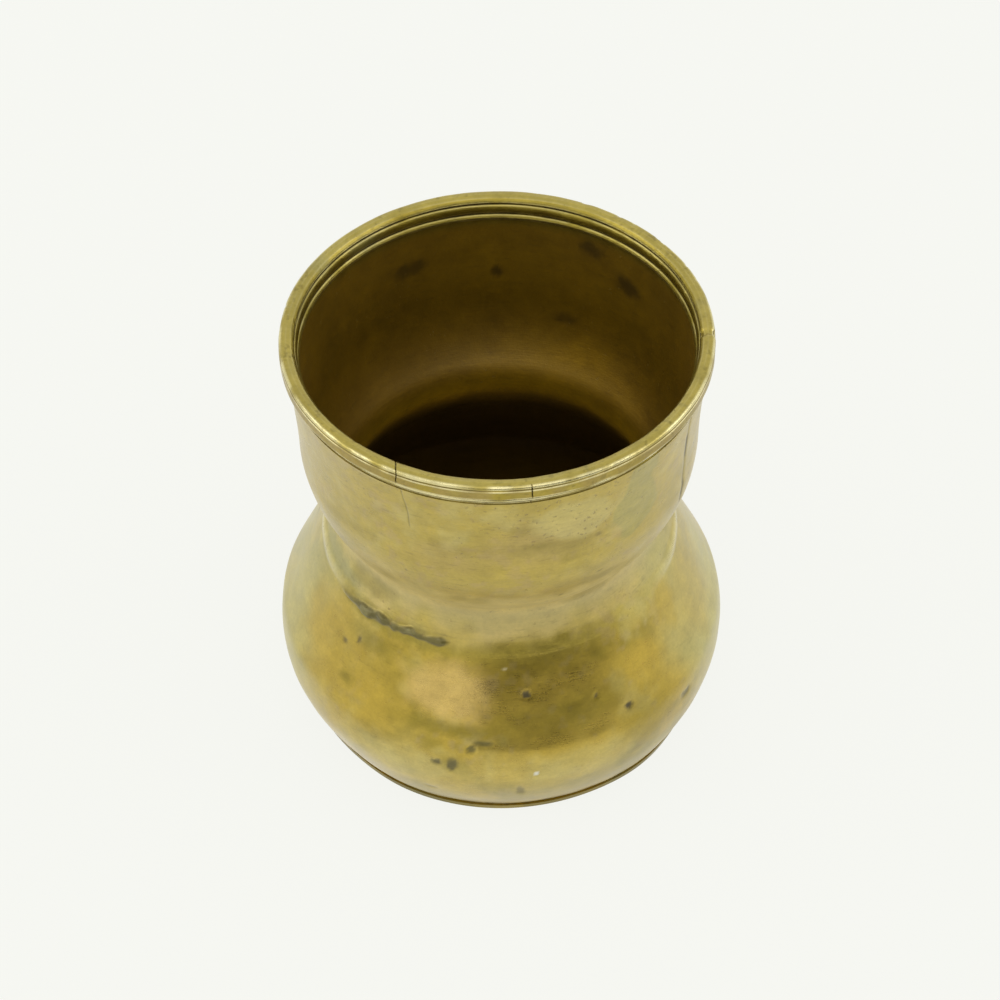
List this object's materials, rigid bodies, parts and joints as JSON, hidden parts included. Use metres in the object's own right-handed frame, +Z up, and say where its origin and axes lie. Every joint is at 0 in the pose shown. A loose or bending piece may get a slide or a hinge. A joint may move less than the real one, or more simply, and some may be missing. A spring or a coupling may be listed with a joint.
{
  "type": "pen holder cup",
  "caption": "Waisted brass cup with a collared mouth, a full round belly and a wide flat base, for standing pens and pencils upright on a desk.",
  "frame": {"origin": "centre of the flat underside of the base disc, which stands on Z = 0", "axes": "+Z up along the axis the cup was turned about; -Y is the front; the wall's upright seam is on the right (+X), 27.5 degrees towards the front"},
  "size_m": [0.088, 0.088, 0.09],
  "materials": {
    "collar_brass": "worn lathe-turned brass, dull patina with rubbed bright edges",
    "rim_braze": "dark tarnished braze line",
    "wall_brass": "satin aged brass, pitted, patchy patina, smooth and dark inside",
    "seam_braze": "dull grey-olive braze line",
    "waist_solder": "lumpy grey-green solder, mostly filed flush",
    "bowl_brass": "semi-polished aged brass, golden and coppery patches, dark spots",
    "plate_brass": "dull scuffed brass",
    "base_solder": "dark grey-brown solder"
  },
  "bodies": {
    "root": {"rim_band": "collar_brass", "rim_braze": "rim_braze", "upper_wall": "wall_brass", "wall_seam": "seam_braze", "waist_solder": "waist_solder", "lower_bowl": "bowl_brass", "base_plate": "plate_brass", "base_solder": "base_solder"}
  },
  "joints": []
}
